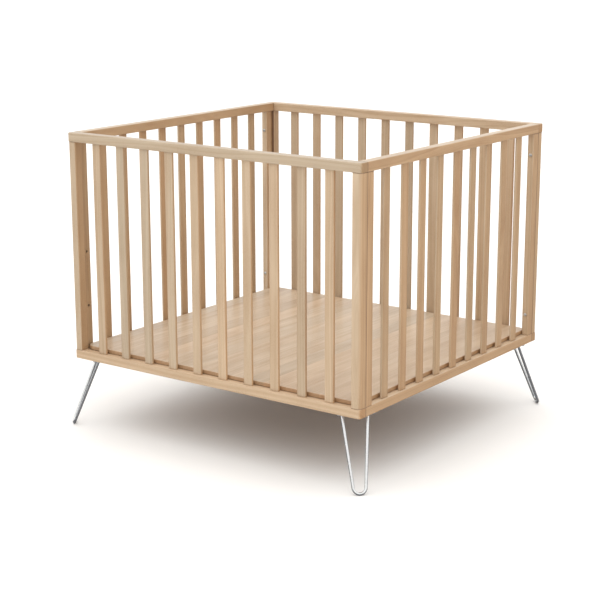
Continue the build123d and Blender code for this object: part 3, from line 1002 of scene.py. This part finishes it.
class PLAYPEN_OT_leg_screws(bpy.types.Operator):
    """Build the cross-recess screws that hold the legs"""

    bl_idname = "playpen.leg_screws"
    bl_label = "Leg screws"

    def execute(self, context):
        settings = context.scene.playpen_fasteners
        boxes = solid_boxes("leg_screws")
        plate_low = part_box("front_bottom_rail")[0].z - context.scene.playpen_legs.plate_thickness
        low, high = boxes[0]
        head_radius = (high.x - low.x) / 2
        head_height = plate_low - low.z
        shank_length = high.z - plate_low
        profile = domed_head(head_radius, head_height, SCREW_SHANK_RADIUS, shank_length, SCREW_TIP)
        body = lathe(profile, settings.steps)
        arm, width = RECESS_ARM, settings.recess_width / 2
        cross = [(arm, -width), (arm, width), (width, width), (width, arm),
                 (-width, arm), (-width, width), (-arm, width), (-arm, -width),
                 (-width, -width), (-width, -arm), (width, -arm), (width, -width)]
        one = cut("screw", body, prism(cross, -2 * head_height, -head_height + settings.recess_depth))
        middles = [(a + b) / 2 for a, b in boxes]
        places = [(Vector((spot.x, spot.y, plate_low)), (0, 0, 0)) for spot in middles]
        zinc = metal("zinc", settings.colour, 0.3)
        keep(fasteners("cross_recess_screws", one, places, 5, zinc), "fastener_steel", "leg_screws")
        return {"FINISHED"}


class PLAYPEN_OT_corner_bolts(bpy.types.Operator):
    """Build the socket bolts that join the panels"""

    bl_idname = "playpen.corner_bolts"
    bl_label = "Corner bolts"

    def execute(self, context):
        settings = context.scene.playpen_fasteners
        head_height = BOLT_HEAD_HEIGHT
        boxes = solid_boxes("corner_bolts")
        low, high = boxes[0]
        head_radius = (high.x - low.x) / 2
        length = high.y - low.y - head_height
        profile = domed_head(head_radius, head_height, BOLT_SHANK_RADIUS, length, BOLT_TIP)
        body = lathe(profile, settings.steps)
        hexagon = ring_points((0, 0), settings.socket_width / math.sqrt(3), 6)
        one = cut("bolt", body, prism(hexagon, -2 * head_height, -head_height + settings.recess_depth))
        places = []
        for a, b in boxes:
            side = 1 if a.y > 0 else -1
            seat = a.y + head_height if side > 0 else b.y - head_height
            turn = Euler((-side * math.pi / 2, 0, 0))
            places.append((Vector(((a.x + b.x) / 2, seat, (a.z + b.z) / 2)), turn))
        zinc = metal("zinc", settings.colour, 0.3)
        keep(fasteners("socket_bolts", one, places, 9, zinc), "fastener_steel", "corner_bolts")
        return {"FINISHED"}


# ---- Stage ----


class PLAYPEN_OT_stage(bpy.types.Operator):
    """Set up the studio floor, the lights and the camera"""

    bl_idname = "playpen.stage"
    bl_label = "Stage"

    def execute(self, context):
        stage = context.scene.playpen_stage
        self.lay_floor(stage)
        self.light_surround(context.scene, stage)
        self.place_camera(context.scene)
        context.scene.view_settings.view_transform = "Standard"
        return {"FINISHED"}

    def lay_floor(self, stage):
        mesh = bmesh.new()
        bmesh.ops.create_grid(mesh, x_segments=1, y_segments=1, size=stage.floor_reach)
        material, tree, shader = new_material("studio_floor")
        # Painted reflection: in gloss the floor is a dark grey, so the steel reflects it darker.
        mirrored = add(tree, "ShaderNodeLightPath").outputs["Is Glossy Ray"]
        in_gloss = (0.17, 0.17, 0.18, 1)
        put(tree, shader.inputs["Base Color"], mixed(tree, mirrored, tuple(stage.floor), in_gloss))
        shader.inputs["Roughness"].default_value = 0.95
        shader.inputs["Specular IOR Level"].default_value = 0.1
        floor = new_piece("studio_floor", plain_mesh(mesh, "studio_floor"))
        floor.data.materials.append(material)

    def light_surround(self, scene, stage):
        scene.world = bpy.data.worlds.new("surround")
        scene.world.use_nodes = True
        tree = scene.world.node_tree
        tree.nodes.clear()
        # The sky brightens from the horizon up, sooner in front than behind.
        direction = add(tree, "ShaderNodeTexCoord").outputs["Generated"]
        way = add(tree, "ShaderNodeSeparateXYZ", {0: direction}).outputs
        bearing = calc(tree, "MULTIPLY_ADD", way[0], 0.27, calc(tree, "MULTIPLY", way[1], 0.55))
        side = remap(tree, bearing, -0.5, 0.5, 0.0, 1.0)
        horizon = mixed(tree, side, tuple(stage.front), tuple(stage.back))
        height = calc(tree, "MULTIPLY", way[2], calc(tree, "MULTIPLY_ADD", bearing, -0.4, 1.0))
        sky = mixed(tree, remap(tree, height, 0.05, 0.75, 0.0, 1.0), horizon, tuple(stage.overhead))
        # The surround looks white by itself and in gloss, and lights the pen as the sky does.
        ray = add(tree, "ShaderNodeLightPath").outputs
        seen = calc(tree, "MAXIMUM", ray["Is Camera Ray"], calc(tree, "MULTIPLY", ray["Is Glossy Ray"], 0.85))
        background = add(tree, "ShaderNodeBackground", {"Color": mixed(tree, seen, sky, (1, 1, 1, 1))})
        out = tree.nodes.new("ShaderNodeOutputWorld")
        tree.links.new(background.outputs[0], out.inputs["Surface"])

    def place_camera(self, scene):
        lens = bpy.data.cameras.new("camera")
        lens.sensor_width = 36.0
        lens.lens = CAMERA_LENS
        camera = bpy.data.objects.new("camera", lens)
        camera.location = CAMERA_PLACE
        turn = Matrix.Rotation(CAMERA_HEADING, 3, "Z")
        turn = turn @ Matrix.Rotation(math.pi / 2 - CAMERA_DOWN, 3, "X")
        camera.rotation_euler = (turn @ Matrix.Rotation(CAMERA_ROLL, 3, "Z")).to_euler()
        scene.collection.objects.link(camera)
        scene.camera = camera


OPERATORS = (
    PLAYPEN_OT_frame,
    PLAYPEN_OT_slats,
    PLAYPEN_OT_floor_board,
    PLAYPEN_OT_legs,
    PLAYPEN_OT_leg_screws,
    PLAYPEN_OT_corner_bolts,
    PLAYPEN_OT_stage,
)


class PLAYPEN_PT_sidebar(bpy.types.Panel):
    """Lists the pen's settings and the pieces to build"""

    bl_idname = "PLAYPEN_PT_sidebar"
    bl_label = "Slatted playpen"
    bl_space_type = "VIEW_3D"
    bl_region_type = "UI"
    bl_category = "Playpen"

    def draw(self, context):
        layout = self.layout
        for pointer, group in GROUPS.items():
            column = layout.column(heading=group.__doc__)
            settings = getattr(context.scene, pointer)
            for name in group.__annotations__:
                column.prop(settings, name)
        for operator in OPERATORS:
            layout.operator(operator.bl_idname)


CLASSES = (*GROUPS.values(), *OPERATORS, PLAYPEN_PT_sidebar)


def register():
    for item in CLASSES:
        bpy.utils.register_class(item)
    for pointer, group in GROUPS.items():
        setattr(bpy.types.Scene, pointer, bpy.props.PointerProperty(type=group))


def unregister():
    for pointer in GROUPS:
        delattr(bpy.types.Scene, pointer)
    for item in reversed(CLASSES):
        bpy.utils.unregister_class(item)


def main():
    """Build every piece in order, and write the CAD box and the visual box."""
    register()
    bpy.ops.playpen.frame()
    bpy.ops.playpen.slats()
    bpy.ops.playpen.floor_board()
    bpy.ops.playpen.legs()
    bpy.ops.playpen.leg_screws()
    bpy.ops.playpen.corner_bolts()
    bpy.ops.playpen.stage()


if __name__ == "__main__":
    main()
